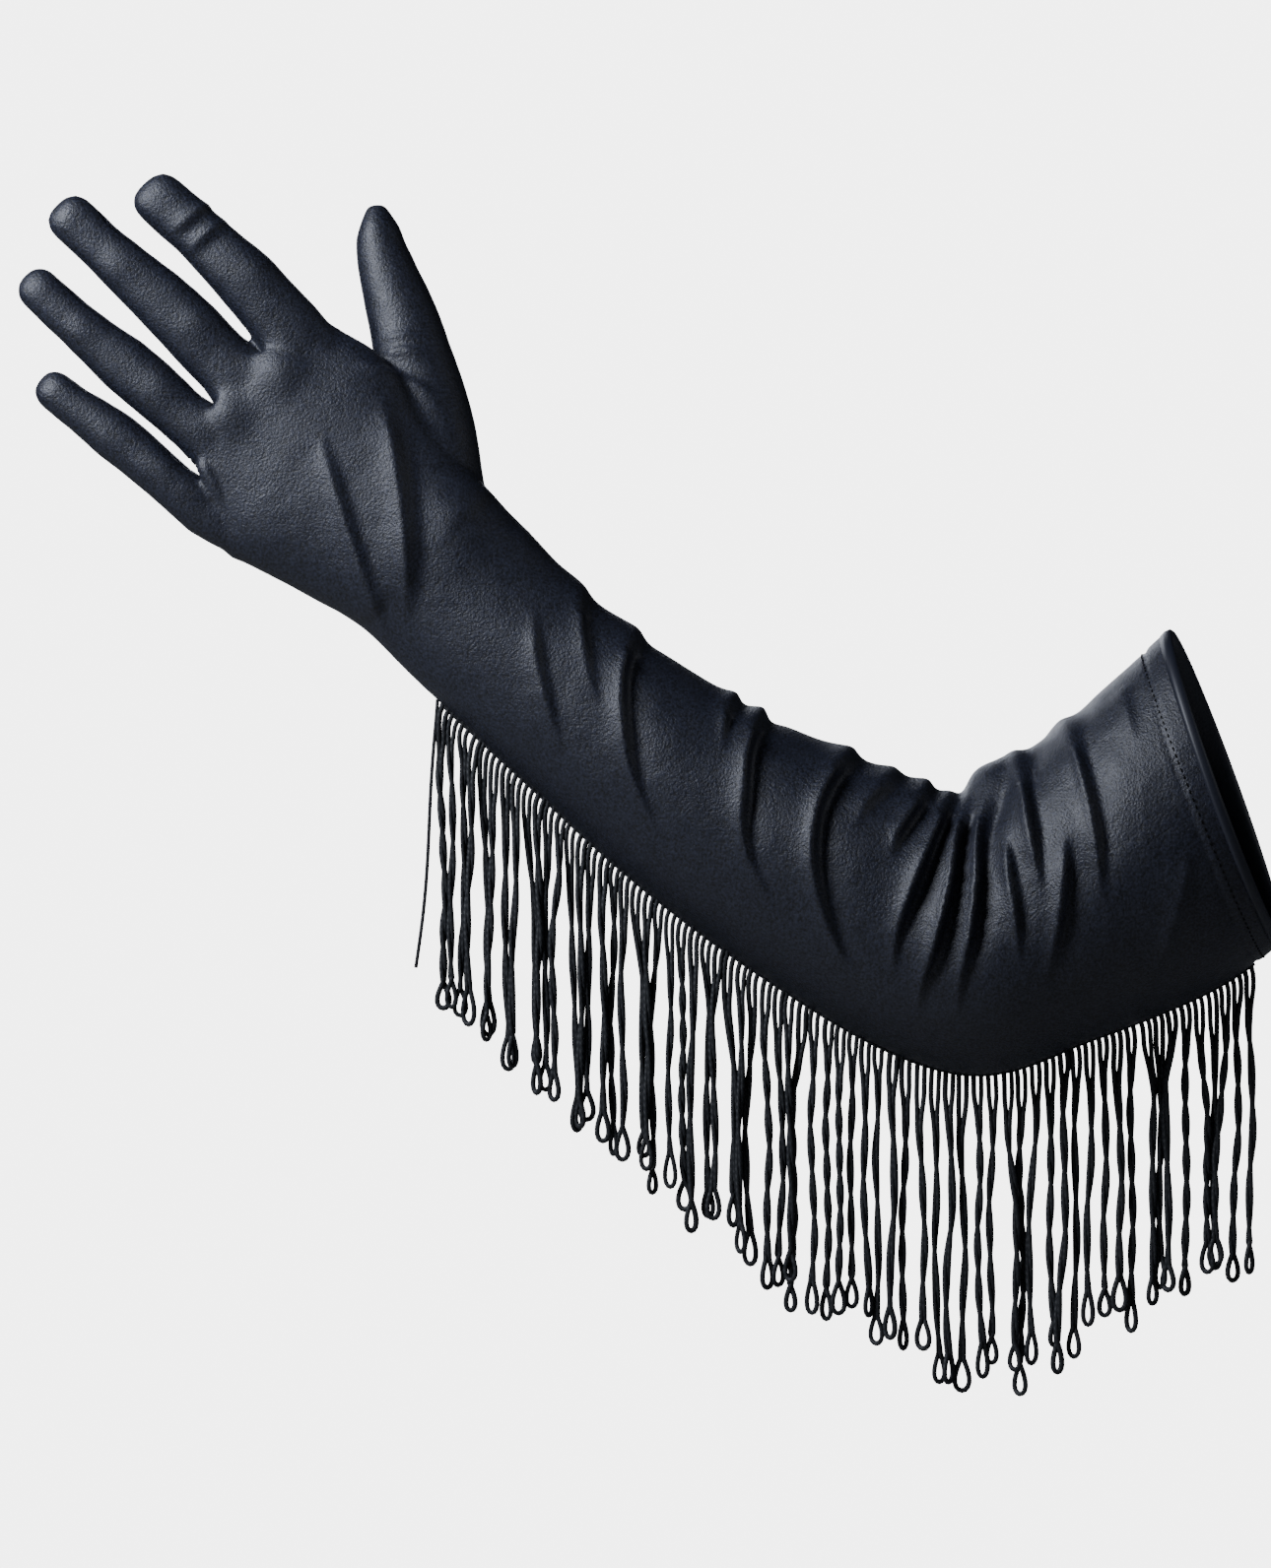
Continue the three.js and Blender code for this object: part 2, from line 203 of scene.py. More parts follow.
def finger_ring(finger, s):
    root, along, across = finger_axes(finger)
    stations = [row[0] for row in finger["edges"]]
    thumb_side = float(np.interp(s, stations, [row[1] for row in finger["edges"]]))
    little_side = float(np.interp(s, stations, [row[2] for row in finger["edges"]]))
    depth = float(np.interp(s, *zip(*FINGER_DEPTHS)))
    past = min(max(0.0, s - (finger["length"] - TIP_ROUND)) / TIP_ROUND, 1.0)
    boxy = (1 - (TIP_END * past) ** 3.2) ** (1 / 2.6)
    soft = math.sqrt(1 - (TIP_END * past) ** 2)
    centre = root + along * s + across * (little_side - thumb_side) / 2
    return centre, across, DEEP, (thumb_side + little_side) / 2 * boxy, depth * soft


def thumb_ring(u):
    place = lambda v: Vector([value_at(THUMB, k, v) for k in range(3)])
    along = (place(u + 0.05) - place(u - 0.05)).normalized()
    across = along.cross(DEEP).normalized()
    return place(u), across, across.cross(along), value_at(THUMB, 3, u), value_at(THUMB, 4, u)


# ---- Skin: tubes joined into one closed body ----

def add_object(name, mesh):
    obj = bpy.data.objects.new(name, mesh)
    bpy.context.scene.collection.objects.link(obj)
    return obj


def relax(bm, verts, passes):
    for _ in range(passes):
        bmesh.ops.smooth_vert(
            bm, verts=verts, factor=0.5, use_axis_x=True, use_axis_y=True, use_axis_z=True,
        )


def add_tube(target, ring_at, start, end, count, square=2.0, bow=None):
    """Adds a closed tube through rings to a bmesh. square above 2 makes its section squarer."""
    bm = bmesh.new()
    bmesh.ops.create_cone(bm, cap_ends=True, segments=48, radius1=1, radius2=1, depth=1)
    long_edges = [e for e in bm.edges if abs(e.verts[0].co.z - e.verts[1].co.z) > 0.5]
    bmesh.ops.subdivide_edges(bm, edges=long_edges, cuts=count - 1, use_grid_fill=True)
    for v in bm.verts:
        x, y, t = v.co.x, v.co.y, 0.5 - v.co.z
        fit = (abs(x) ** square + abs(y) ** square) ** (-1 / square)
        centre, across, deep, half, depth = ring_at(start + (end - start) * t)
        v.co = centre + across * (x * fit * half) + deep * (y * fit * depth)
        if bow:
            v.co += across.cross(deep) * -bow(x, t)
    bmesh.ops.recalc_face_normals(bm, faces=bm.faces)
    part = bpy.data.meshes.new("tube")
    bm.to_mesh(part)
    target.from_mesh(part)
    bm.free()
    bpy.data.meshes.remove(part)


def web_bow(x, t):
    return max(0.0, t - 0.6) / 0.4 * (WEB_BOW - WEB_FALL * x * x)


def joined_skin():
    """The sleeve, palm, fingers and thumb as one smooth closed mesh, in millimetres."""
    bm = bmesh.new()
    add_tube(bm, arm_ring, -0.35, 8.5, 90)
    add_tube(bm, arm_ring, 8, WEBS, 30, square=2.3, bow=web_bow)
    add_tube(bm, thumb_ring, 0, len(THUMB) - 1, 60)
    for finger in FINGERS.values():
        add_tube(bm, lambda s: finger_ring(finger, s), -26, finger["length"], 90, FINGER_SQUARE)
    mesh = bpy.data.meshes.new("skin")
    bm.to_mesh(mesh)
    bm.free()
    obj = add_object("skin", mesh)
    remesh = obj.modifiers.new("remesh", "REMESH")
    remesh.mode = "VOXEL"
    remesh.voxel_size = VOXEL
    graph = bpy.context.evaluated_depsgraph_get()
    skin = bpy.data.meshes.new_from_object(obj.evaluated_get(graph))
    bpy.data.objects.remove(obj)
    bm = bmesh.new()
    bm.from_mesh(skin)
    relax(bm, bm.verts, SKIN_PASSES)
    bm.to_mesh(skin)
    bm.free()
    return skin


# ---- Folds ----

# Each fold: its crest from top to bottom (x, z), height, reach of its soft lit flank, of its
# steep flank and of the hollow beyond it, the hollow's depth as a share of the height, and
# whether its top end runs on round the edge of the arm.
FOLDS = [
    ([(-231, 62), (-230, 44), (-226, 27), (-221, 10)], 1.6, 3.4, 1.8, 3.5, 0.6, False),
    ([(-215, 70), (-216, 58), (-214, 44), (-209, 24)], 2, 3.4, 1.9, 3.5, 0.6, True),
    ([(-192, 58), (-199, 48), (-202, 36), (-201, 18), (-197, 1), (-187, -22)],
     2.9, 4.2, 2, 3.2, 0.7, True),
    ([(-155, 36), (-163, 31), (-168, 23), (-168.5, 10)], 2.4, 3, 1.8, 2.8, 0.8, True),
    ([(-144, 30), (-153, 27), (-160, 15), (-162, -2), (-161, -20), (-150, -44)],
     3.2, 4.2, 1.9, 3, 0.8, True),
    ([(-112, 16), (-124, 12), (-134, 2), (-139, -12), (-138.5, -30), (-131, -52), (-124, -62)],
     3.4, 4.4, 1.9, 3.2, 0.8, True),
    ([(-106, 12), (-112, 4), (-121, -4), (-126, -14)], 1.9, 4, 2.4, 3.2, 0.7, True),
    ([(-94, 8), (-102, -2), (-111, -14), (-114, -24)], 2.6, 3.4, 2, 3, 0.9, True),
    ([(-84, 2), (-93, -4), (-99, -14), (-106, -30), (-112, -48), (-113, -66)], 3.4, 3.4, 1.7, 3, 1, True),
    ([(-78, 6), (-87, -6), (-92, -16), (-95, -32), (-100, -52), (-103.5, -64), (-104.5, -76)],
     3.6, 2.4, 1.5, 2.8, 1, True),
    ([(-74, 8), (-80, -1), (-84.5, -14), (-86, -30), (-88, -46), (-91, -62), (-92, -76)],
     3.6, 2.4, 1.5, 2.8, 1, True),
    ([(-64, 20), (-69.5, 10), (-69, -6), (-67, -22), (-64.5, -36)], 3, 2.6, 1.6, 2.8, 1, True),
    ([(-76, -14), (-75.5, -28), (-73.5, -42), (-72, -60)], 2.3, 2.2, 1.6, 2.6, 0.9, False),
    ([(-54, 28), (-52, 12), (-48.5, -8), (-46.5, -24), (-45, -42)], 2.4, 2.6, 1.6, 3, 0.9, True),
    ([(-57, -14), (-58, -30), (-60, -46), (-64, -66)], 2.6, 2.6, 1.7, 3, 0.9, False),
    ([(-17, -18), (-19.5, -34), (-24, -52), (-30, -70)], 1.2, 3.6, 2.4, 4, 0.6, False),
    ([(-36.5, 36), (-35.5, 24), (-34, 14)], 0.9, 2.5, 2, 3, 0.5, False),
    ([(-303, 121), (-299, 106), (-293, 87), (-287, 69), (-281, 53), (-275, 42)],
     2, 3.6, 2.8, 3, 0.1, False),
    ([(-283, 134), (-279, 117), (-275.5, 98), (-273.5, 80), (-273, 64), (-274, 52)],
     3.4, 6.4, 4.2, 4.4, 0.35, False),
    ([(-343, 111), (-338.5, 103), (-333, 91)], 1.1, 2, 1.6, 3, 0.3, False),
    ([(-292, 143), (-278, 137.7), (-269, 133.5), (-259, 126)], 1.4, 2.4, 2.2, 3, 0.3, False),
    ([(-283, 145), (-276, 147), (-265, 146)], 0.9, 1.6, 1.6, 2, 0.5, False),
    ([(-284, 150), (-276, 152.5), (-268, 152)], 0.6, 1.6, 1.6, 2, 0.4, False),
    ([(-338, 197), (-346, 190), (-353, 184)], 1, 2.6, 2.2, 3, 0.7, False),
    ([(-333, 191), (-341, 184), (-348, 177)], 0.9, 3, 2.2, 3, 0.7, False),
]

CREST_ROUND = 0.8  # radius of a fold's crest
TOP_SOFT = 7  # how far from the upper edge the folds are rounded off
TOP_PASSES = 14

# Rounded rises under the cloth on the back of the hand: x, z, radius, height.
RISES = [
    (-316.5, 139, 9, 2.8), (-333.5, 124.5, 8, 2.4), (-341, 106, 8, 1), (-256, 88, 14, 2.2),
    (-369.5, 175, 6, 0.7), (-343, 154.5, 7, 0.9), (-356, 133, 7, 0.9), (-382.5, 152, 6, 0.7),
    (-374, 116, 6, 0.6), (-355, 106.5, 7, 0.7), (-324, 172.5, 8, 0.8), (-280, 172, 7, 0.6),
    (-234, 82, 10, 1.2),
]


def smooth_line(points, count=48):
    rows = [(x, z) for x, z in points]
    us = np.linspace(0, len(rows) - 1, count)
    return np.array([[value_at(rows, 0, u), value_at(rows, 1, u)] for u in us])


def smoothstep(x, low=0.0, high=1.0):
    t = np.clip((x - low) / (high - low), 0, 1)
    return t * t * (3 - 2 * t)


def fold_height(xz, crest, height, lit, steep, hollow, share, runs_on):
    """How far one fold lifts each point: a soft flank, a crest, a steep flank and a hollow."""
    line = smooth_line(crest, 80)
    out = np.zeros(len(xz))
    reach = 4 * max(lit, steep, hollow)
    near = np.flatnonzero(((xz > line.min(0) - reach) & (xz < line.max(0) + reach)).all(1))
    if not len(near):
        return out
    points = xz[near]
    nearest = ((points[:, None] - line[None]) ** 2).sum(2).argmin(1)
    tangent = np.gradient(line, axis=0)
    tangent /= np.linalg.norm(tangent, axis=1)[:, None]
    offset = points - line[nearest]
    along = tangent[nearest]
    across = along[:, 0] * offset[:, 1] - along[:, 1] * offset[:, 0]
    past = np.abs((along * offset).sum(1))
    t = nearest / (len(line) - 1)
    ends = 1 - smoothstep(t, 0.55, 1)
    ends *= 1 if runs_on else smoothstep(t, 0, 0.3)
    ends *= np.exp(-((past / (1.5 * lit)) ** 2))
    narrow = 0.55 + 0.45 * ends
    dome = 1 - smoothstep(t, 0.05, 0.3) if runs_on else 0.0
    right = across.clip(0) / (hollow * narrow)
    left = (np.hypot(across, CREST_ROUND) - CREST_ROUND) / (lit * narrow)
    swell = np.exp(-((across / (2.2 * lit)) ** 2))
    rise = np.where(
        across < 0,
        np.exp(-left) * (1 - dome) + swell * dome,
        np.exp(-((across / (steep * narrow * (1 + 1.2 * dome))) ** 2)),
    )
    lift = height * ends * (1 - 0.45 * dome)
    out[near] = lift * (rise - share * right * np.exp(1 - right) * 0.7)
    return out


def fold_skin(skin):
    """Moves the skin's points in and out: folds, rises under the cloth and small ripples."""
    count = len(skin.vertices)
    co = np.empty(count * 3)
    skin.vertices.foreach_get("co", co)
    co = co.reshape(-1, 3)
    normal = np.empty(count * 3)
    skin.vertex_normals.foreach_get("vector", normal)
    normal = normal.reshape(-1, 3)
    back = smoothstep(co[:, 1], 2, 26)
    xz = co[:, (0, 2)].copy()
    xz[:, 0] += back * (5 * np.sin(co[:, 2] / 13) + 3)
    xz[:, 1] += back * 4 * np.sin(co[:, 0] / 17)
    lift = np.zeros(count)
    for fold in FOLDS:
        lift += fold_height(xz, *fold)
    front = smoothstep(-co[:, 1], -8, 1)
    for x, z, radius, height in RISES:
        away = np.hypot(co[:, 0] - x, co[:, 2] - z) / radius
        lift += height * front * np.exp(-(away ** 2))
    for i, (x, y, z) in enumerate(co):
        lift[i] += 0.35 * noise.noise(Vector((x / 22, y / 22, z / 22)))
        lift[i] += 0.12 * noise.noise(Vector((x / 6, y / 6, z / 6)))
    at, across, deep, _, _ = arm_ring(0)
    away = (co - np.array(at)) @ np.array(deep.cross(across))
    seat = (co - np.array(at)) @ np.array(across)
    pucker = 0.75 + 0.25 * np.sin(seat * 2 * math.pi / STITCH_STEP)
    lift += HEM_THICK * (1 - smoothstep(away, HEM_WIDTH - 0.6, HEM_WIDTH + 0.6))
    lift -= 0.5 * pucker * np.exp(-(((away - HEM_WIDTH) / 0.9) ** 2))
    co += normal * lift[:, None]
    skin.vertices.foreach_set("co", co.ravel())
    skin.update()


def soften_tops(skin):
    """Rounds the folds off where they run over the sleeve's upper edge."""
    edge = []
    for u in np.linspace(0.5, WRIST_U, 90):
        at, across, _, half, _ = arm_ring(u)
        top = at - across * half
        edge.append((top.x, top.z))
    bm = bmesh.new()
    bm.from_mesh(skin)
    xz = np.array([(v.co.x, v.co.z) for v in bm.verts])
    away = np.min([np.hypot(xz[:, 0] - x, xz[:, 1] - z) for x, z in edge], axis=0)
    tops = [v for v, far in zip(bm.verts, away) if far < TOP_SOFT]
    relax(bm, tops, TOP_PASSES)
    bm.to_mesh(skin)
    bm.free()


# ---- Cutting the skin into pieces ----

def cut(bm, faces, point, direction, clear=False):
    geom = set(faces)
    geom.update(v for f in faces for v in f.verts)
    geom.update(e for f in faces for e in f.edges)
    bmesh.ops.bisect_plane(
        bm, geom=list(geom), dist=1e-5, plane_co=point, plane_no=direction, clear_outer=clear,
    )


def on_finger(point):
    """The finger that a point lies on, with its s and offset, or None in the palm and sleeve."""
    best = None
    for name, finger in FINGERS.items():
        root, along, across = finger_axes(finger)
        place = point - root
        s, offset = place.dot(along), place.dot(across)
        if s > -4 and abs(offset) < 15 and (best is None or abs(offset) < abs(best[2])):
            best = (name, s, offset)
    return best


def finger_cut(name):
    return FINGERS[name]["free"] + 1


def past_thumb_cut(point, margin=0.0):
    place = point - THUMB_HINGE
    s = place.dot(THUMB_ALONG)
    return s > THUMB_CUT - margin and (place - THUMB_ALONG * s).length < THUMB_REACH


def fork_outline(finger, s):
    """Half width of a fourchette at s: even, then pointed near the fingertip."""
    point = finger["length"] - FORK_SHORT
    return FORK_HALF * min(1.0, max(0.0, (point - s) / FORK_POINT))


def cut_skin(skin):
    """The skin as a bmesh with clean edges at every cut, and each face's piece."""
    bm = bmesh.new()
    bm.from_mesh(skin)
    at, across, deep, _, _ = arm_ring(0)
    cut(bm, bm.faces, at, across.cross(deep), clear=True)
    for x in (ELBOW_NEAR_CUT, ELBOW_FAR_CUT):
        near = [f for f in bm.faces if abs(f.calc_center_median().x - x) < CUT_NEAR]
        cut(bm, near, Vector((x, 0, 0)), Vector((1, 0, 0)))
    at, across, _, _, _ = arm_ring(MID_FOREARM_U)
    away = DEEP.cross(across)
    near = [
        f for f in bm.faces
        if abs((f.calc_center_median() - at).dot(away)) < CUT_NEAR
        and f.calc_center_median().x > ARM[WRIST_U][0]
    ]
    cut(bm, near, at, away)
    for name, finger in FINGERS.items():
        root, along, across = finger_axes(finger)
        start = root + along * finger_cut(name)
        mine = [f for f in bm.faces if (on_finger(f.calc_center_median()) or (None,))[0] == name]
        near = [f for f in mine if abs((f.calc_center_median() - start).dot(along)) < CUT_NEAR]
        cut(bm, near, start, along)
        point = finger["length"] - FORK_SHORT
        for side in finger["forks"]:
            for sign in (-1, 1):
                flank = [
                    f for f in bm.faces
                    if (found := on_finger(f.calc_center_median())) and found[0] == name
                    and found[1] > finger_cut(name) and found[2] * side > 2
                    and f.calc_center_median().y * sign > -1
                ]
                low = [
                    f for f in flank
                    if on_finger(f.calc_center_median())[1] < point - FORK_POINT + 1
                ]
                cut(bm, low, Vector((0, sign * FORK_HALF, 0)), DEEP)
                slope = (along * FORK_HALF + DEEP * sign * FORK_POINT).normalized()
                high = [
                    f for f in flank
                    if f.is_valid and on_finger(f.calc_center_median())[1] > point - FORK_POINT - 1
                ]
                cut(bm, high, root + along * point, slope)
    start = THUMB_HINGE + THUMB_ALONG * THUMB_CUT
    near = [
        f for f in bm.faces
        if past_thumb_cut(f.calc_center_median(), margin=CUT_NEAR)
        and (f.calc_center_median() - start).dot(THUMB_ALONG) < CUT_NEAR
    ]
    cut(bm, near, start, THUMB_ALONG)
    return bm


def piece_of(point):
    """Which piece of cloth a point of the skin belongs to."""
    if point.x > ELBOW_NEAR_CUT:
        return "upper_sleeve_cloth"
    if point.x > ELBOW_FAR_CUT:
        return "elbow_cloth"
    at, across, _, _, _ = arm_ring(MID_FOREARM_U)
    if (point - at).dot(across.cross(DEEP)) > 0:
        return "forearm_cloth"
    if past_thumb_cut(point):
        return "thumb_cloth"
    found = on_finger(point)
    if not found or found[1] < finger_cut(found[0]):
        return "hand_cloth"
    name, s, offset = found
    finger = FINGERS[name]
    for side in finger["forks"]:
        if offset * side > 2 and abs(point.y) < fork_outline(finger, s):
            return f"{name}_fourchette_{'little' if side > 0 else 'thumb'}_side_cloth"
    return f"{name}_cloth"


def cloth_pieces(bm):
    """Splits the cut skin into objects with a wall of cloth, their shading kept whole."""
    whole = bm.verts.layers.float_vector.new("whole_normal")
    place = bm.verts.layers.float_vector.new("cloth_place")
    kind = bm.faces.layers.int.new("piece")
    bm.normal_update()
    label = {f: piece_of(f.calc_center_median()) for f in bm.faces}
    for v in bm.verts:
        names = {label[f] for f in v.link_faces}
        if any("fourchette" in name for name in names) and len(names) > 1:
            v.co -= v.normal * SEAM_SINK
    bm.normal_update()
    for v in bm.verts:
        v[whole] = v.normal
        v[place] = v.co * MM
    names = sorted(set(label.values()))
    for f in bm.faces:
        f[kind] = names.index(label[f])
    return {name: wall_of_cloth(bm, name, i) for i, name in enumerate(names)}


def wall_of_cloth(whole_bm, name, number):
    bm = whole_bm.copy()
    kind = bm.faces.layers.int["piece"]
    bmesh.ops.delete(bm, geom=[f for f in bm.faces if f[kind] != number], context="FACES")
    whole = bm.verts.layers.float_vector["whole_normal"]
    rim = [e for e in bm.edges if e.is_boundary]
    outside = list(bm.faces)
    made = bmesh.ops.duplicate(bm, geom=bm.verts[:] + bm.edges[:] + bm.faces[:])["geom"]
    inside = [g for g in made if isinstance(g, bmesh.types.BMFace)]
    moved = [g for g in made if isinstance(g, bmesh.types.BMVert)]
    bmesh.ops.reverse_faces(bm, faces=inside)
    skirt = bmesh.ops.extrude_edge_only(bm, edges=rim)["geom"]
    moved += [g for g in skirt if isinstance(g, bmesh.types.BMVert)]
    for v in moved:
        v.co -= v[whole] * CLOTH
        v[whole] = -v[whole]
    bmesh.ops.remove_doubles(bm, verts=moved, dist=1e-4)
    shaded = set(outside) | set(inside)
    for f in bm.faces:
        f.smooth = f in shaded
    bmesh.ops.scale(bm, vec=(MM, MM, MM), verts=bm.verts)
    normals = []
    for f in bm.faces:
        normals += [tuple(loop.vert[whole]) if f in shaded else (0, 0, 0) for loop in f.loops]
    mesh = bpy.data.meshes.new(name)
    bm.to_mesh(mesh)
    bm.free()
    mesh.normals_split_custom_set(normals)
    return add_object(name, mesh)


# ---- Hem ----

def from_bmesh(name, bm):
    bmesh.ops.scale(bm, vec=(MM, MM, MM), verts=bm.verts)
    mesh = bpy.data.meshes.new(name)
    for f in bm.faces:
        f.smooth = True
    bm.to_mesh(mesh)
    bm.free()
    return add_object(name, mesh)


def ring_band(profile, steps=160):
    """A closed band round the cuff from a profile of (distance from the edge, inset)."""
    bm = bmesh.new()
    bmesh.ops.create_circle(bm, cap_ends=False, radius=1, segments=steps)
    loops = [list(bm.verts)]
    edges = list(bm.edges)
    for _ in profile[1:]:
        made = bmesh.ops.extrude_edge_only(bm, edges=edges)["geom"]
        edges = [g for g in made if isinstance(g, bmesh.types.BMEdge)]
        edges = [e for e in edges if len(e.link_faces) == 1]
        verts = [g for g in made if isinstance(g, bmesh.types.BMVert)]
        loops.append(sorted(verts, key=lambda v: math.atan2(v.co.y, v.co.x)))
    loops[0].sort(key=lambda v: math.atan2(v.co.y, v.co.x))
    at, across, deep, half, depth = arm_ring(0)
    outward = across.cross(deep)
    for loop, (inside, inset) in zip(loops, profile):
        centre, across_u, deep_u, half_u, depth_u = arm_ring(max(inside, 0) / CUFF_RUN)
        if inside < 0:
            centre = at + outward * -inside
        for v in loop:
            v.co = centre + across_u * v.co.x * (half_u - inset) + deep_u * v.co.y * (depth_u - inset)
    bmesh.ops.bridge_loops(bm, edges=[e for e in bm.edges if e.is_boundary])
    bmesh.ops.recalc_face_normals(bm, faces=bm.faces)
    return bm


def add_hem(surface):
    rolled = [(2.2, -0.25), (0.8, -0.45), (-0.4, -0.3), (-1.0, 0.3), (-0.9, 1.0), (-0.1, 1.5),
              (1.5, 1.6), (HEM_WIDTH - 0.5, 1.6), (HEM_WIDTH, 1.9), (HEM_WIDTH - 0.4, 2.3),
              (1.2, 2.4), (-0.6, 2.2), (-1.6, 1.2), (-1.7, 0.1), (-1.0, -0.8), (0.8, -1.0), (2.4, -0.7)]
    turning = from_bmesh("hem_turning_cloth", ring_band(rolled))
    elastic = [(1.8, 0.8), (HEM_WIDTH - 1.8, 0.8), (HEM_WIDTH - 1.8, 1.4), (1.8, 1.4)]
    band = from_bmesh("cuff_elastic_band", ring_band(elastic))
    bm = bmesh.new()
    at, across, deep, half, depth = arm_ring(HEM_WIDTH / CUFF_RUN)
    turn = 2 * math.pi * math.sqrt((half ** 2 + depth ** 2) / 2)
    count = round(turn / STITCH_STEP)
    for i in range(count):
        angle = 2 * math.pi * i / count
        where = []
        for end in (-1, 1):
            a = angle + end * 0.3 * 2 * math.pi / count
            centre, across, deep, half, depth = arm_ring(HEM_WIDTH / CUFF_RUN)
            out = across * math.cos(a) * half + deep * math.sin(a) * depth
            hit = surface.ray_cast(centre + out * 1.3, -out.normalized())
            where.append(hit[0] if hit[0] else centre + out)
        middle = (where[0] + where[1]) / 2
        run = (where[1] - where[0])
        made = bmesh.ops.create_icosphere(bm, subdivisions=1, radius=1)["verts"]
        turn_to = run.to_track_quat("X", "Z").to_matrix().to_4x4()
        bmesh.ops.scale(bm, vec=(run.length / 2 + 0.1, STITCH_HALF, STITCH_HALF), verts=made)
        bmesh.ops.transform(bm, matrix=turn_to, verts=made)
        bmesh.ops.translate(bm, vec=middle, verts=made)
    stitches = from_bmesh("hem_stitches", bm)
    return turning, band, stitches


# ---- Fringe ----

# Strands counted from the wrist that hang together: first, last, and the depths in mm between
# which they close up.
CLUMPS = [
    (3, 4, 2, 14), (5, 6, 20, 60), (9, 12, 12, 52), (13, 15, 16, 54), (19, 21, 8, 34),
    (25, 26, 4, 22), (27, 29, 12, 44), (31, 33, 6, 36), (38, 39, 50, 84), (43, 44, 40, 82),
    (48, 50, 14, 50), (51, 52, 60, 90), (58, 60, 5, 26), (62, 64, 12, 46),
]
TOTAL = SECTIONS * STRANDS

BACKGROUND = 5  # how bright the camera sees the studio
AMBIENT = 0.03  # how much light the studio gives
FLOOR_RADIUS = 4000
FLOOR_DROP = 160  # under the fringe, clear of it in every pose


def seam_cuts(count):
    """Ring numbers that cut the fringed seam into equal lengths."""
    us = np.linspace(FRINGE_FROM_U, FRINGE_TO_U, 401)
    points = np.array([seam_point(u) for u in us])
    run = np.concatenate([[0], np.cumsum(np.linalg.norm(np.diff(points, axis=0), axis=1))])
    return [us[np.flatnonzero(run >= run[-1] * k / count - 1e-9)[0]] for k in range(count + 1)]


def strand_shift(number, depth_mm, roots):
    """Sideways shift of a strand at a depth, where it hangs with its neighbours."""
    for first, last, start, end in CLUMPS:
        if first <= number <= last:
            group = [roots[n].x for n in range(first, last + 1)]
            middle = sum(group) / len(group)
            place = (number - first) - (last - first) / 2
            target = middle + place * YARN
            return (target - roots[number].x) * float(smoothstep(depth_mm, start, end))
    return 0.0


def strand_path(number, u, roots, rng):
    """The yarn of one strand: down one leg, round its loop and up the other leg."""
    at, across, _, half, _ = arm_ring(u)
    along = across.cross(DEEP)
    root = roots[number]
    drop = STRAND_DROP + rng.uniform(-7, 6) + 6 * math.exp(-(((number - 49) / 6) ** 2))
    tall, wide = rng.uniform(8.5, 12), rng.uniform(4.2, 6.2)
    neck = drop - tall
    merge = rng.uniform(9, 24)
    pitch = rng.uniform(22, 60)
    sway = rng.uniform(-1.6, 1.6)
    wave, phase = rng.uniform(0.25, 0.7), rng.uniform(0, 6.3)
    deep = (-1.1, 1.1, -0.4, 0.8)[number % 4]
    turn = rng.uniform(-0.9, 0.9)

    def centre(s):
        out = 2.6 * (1 - math.exp(-max(s, 0) / 1.6))
        x = root.x + across.x * out + strand_shift(number, s, roots) + sway * (max(s, 0) / 100) ** 1.5
        x += wave * (math.sin(s / 11 + phase) + 0.2 * math.sin(s / 4.1 + 2 * phase)) * min(1, s / 20)
        return Vector((x, deep * float(smoothstep(s, 2, 20)), root.z + across.z * out * 0.4 - s))

    def leg(side, s):
        apart = along * LEG_APART * side
        twist = 2 * math.pi * (s - merge) / pitch + (0 if side > 0 else math.pi)
        twined = Vector((math.cos(twist), math.sin(twist), 0)) * TWINE
        mix = float(smoothstep(s, merge * 0.4, merge))
        return centre(s) + apart * (1 - mix) + twined * mix

    steps = np.arange(-1.2, neck, 1.7)
    path = [leg(1, s) for s in steps]
    start, end = leg(1, neck), leg(-1, neck)
    for k in range(0, 19):
        t = k / 18
        angle = 2 * math.pi * t
        sideways = -wide * 0.5 * math.sin(angle) * math.sin(angle / 2) ** 1.3
        fall = tall * (1 - math.cos(angle)) / 2
        spot = start.lerp(end, t)
        path.append(spot + Vector((sideways * math.cos(turn), sideways * math.sin(turn), -fall)))
    path += [leg(-1, s) for s in reversed(steps)]
    return path


def yarn_object(name, paths, radius):
    """Yarns swept round along their paths as one mesh, with places along and round the yarn."""
    curve = bpy.data.curves.new(name, "CURVE")
    curve.dimensions = "3D"
    curve.bevel_depth = 1
    curve.bevel_resolution = 1
    curve.use_fill_caps = True
    for path, thick in zip(paths, radius):
        spline = curve.splines.new("POLY")
        spline.points.add(len(path) - 1)
        for point, place in zip(spline.points, path):
            point.co = (*place, 1)
            point.radius = thick
    obj = bpy.data.objects.new(name, curve)
    bpy.context.scene.collection.objects.link(obj)
    graph = bpy.context.evaluated_depsgraph_get()
    mesh = bpy.data.meshes.new_from_object(obj.evaluated_get(graph))
    bpy.data.objects.remove(obj)
    bm = bmesh.new()
    bm.from_mesh(mesh)
    bpy.data.meshes.remove(mesh)
    bmesh.ops.remove_doubles(bm, verts=bm.verts, dist=1e-3)
    return from_bmesh(name, bm)


